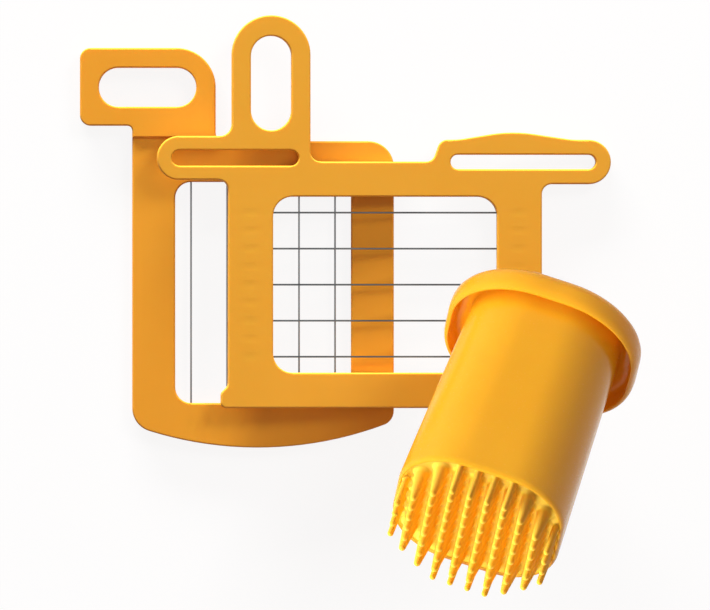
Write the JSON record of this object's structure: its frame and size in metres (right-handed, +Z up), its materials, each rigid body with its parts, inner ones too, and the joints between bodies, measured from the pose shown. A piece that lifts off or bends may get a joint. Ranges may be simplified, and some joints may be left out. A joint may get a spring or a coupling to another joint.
{
  "type": "egg slicer",
  "caption": "Hand egg dicer set: two flat frames strung with crossing steel wires, and a rounded-square pusher whose spikes pass between the wires.",
  "frame": {"origin": "centre of the rear frame's window, on the table", "axes": "+X right and +Y up the frames as they lie, +Z up from the table"},
  "size_m": [0.1865, 0.1928, 0.1063],
  "materials": {
    "frame_plastic": "semi-gloss moulded",
    "pusher_plastic": "gloss moulded",
    "keeper_plastic": "satin moulded",
    "wire_steel": "drawn wire",
    "ferrule_steel": "crimped"
  },
  "bodies": {
    "rear_frame": {"rear_frame_plate": "frame_plastic", "rear_wire_1": "wire_steel", "rear_wire_2": "wire_steel", "rear_wire_3": "wire_steel", "rear_wire_4": "wire_steel", "rear_wire_5": "wire_steel", "rear_ferrules_top": "ferrule_steel", "rear_ferrules_bottom": "ferrule_steel", "rear_keeper_top": "keeper_plastic", "rear_keeper_bottom": "keeper_plastic"},
    "front_frame": {"front_frame_plate": "frame_plastic", "front_wire_1": "wire_steel", "front_wire_2": "wire_steel", "front_wire_3": "wire_steel", "front_wire_4": "wire_steel", "front_wire_5": "wire_steel", "front_ferrules_left": "ferrule_steel", "front_ferrules_right": "ferrule_steel", "front_keeper_left": "keeper_plastic", "front_keeper_right": "keeper_plastic"},
    "pusher": {"pusher_sleeve": "pusher_plastic", "spike_plate": "pusher_plastic"}
  },
  "joints": [
    {"name": "front_slide", "type": "slide", "parent": "rear_frame", "child": "front_frame", "axis": [-0.9982, 0, 0.0594], "range_m": [0, 0.0406]},
    {"name": "pusher_stroke", "type": "slide", "parent": "front_frame", "child": "pusher", "axis": [-0.293, -0.7713, 0.565], "range_m": [0, 0.07]}
  ]
}
